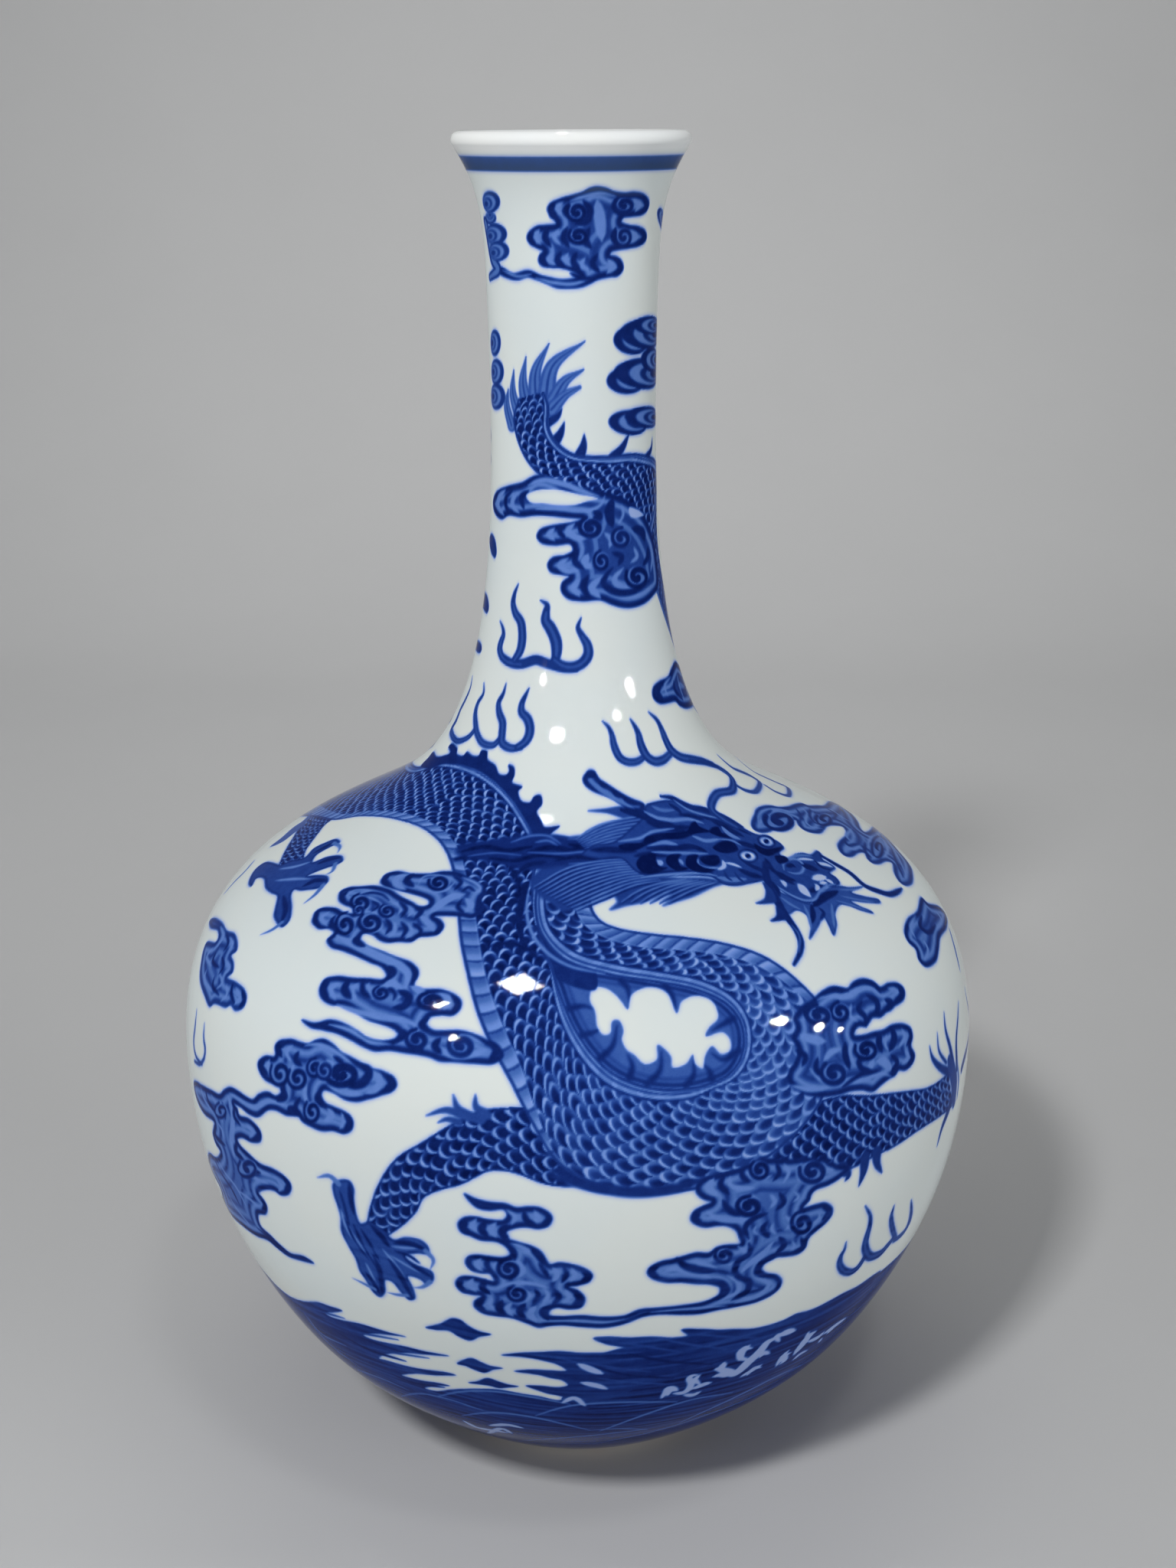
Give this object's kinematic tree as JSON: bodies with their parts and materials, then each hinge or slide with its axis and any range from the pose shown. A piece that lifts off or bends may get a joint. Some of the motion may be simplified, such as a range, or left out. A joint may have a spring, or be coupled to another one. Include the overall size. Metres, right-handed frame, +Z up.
{
  "type": "tianqiuping vase",
  "caption": "Globular porcelain vase with a long slender neck and a flared, rolled lip on a low foot ring, for display or for tall stems",
  "frame": {"origin": "centre of the circle that the foot ring stands on", "axes": "+Z up along the vase's axis, -Y towards the side that the picture shows"},
  "size_m": [0.2128, 0.2128, 0.35],
  "materials": {
    "painted_glaze": "cobalt painting under a glossy, faintly blue clear glaze",
    "clear_glaze": "glossy clear glaze over white porcelain",
    "slip": "fired slip in the seams, smooth",
    "biscuit": "unglazed fired clay, fine matt"
  },
  "bodies": {
    "root": {"foot_ring": "biscuit", "foot_slip": "slip", "lower_belly": "painted_glaze", "belly_slip": "slip", "upper_belly": "painted_glaze", "neck_slip": "slip", "neck": "painted_glaze", "mouth_slip": "slip", "mouth_rim": "clear_glaze"}
  },
  "joints": []
}
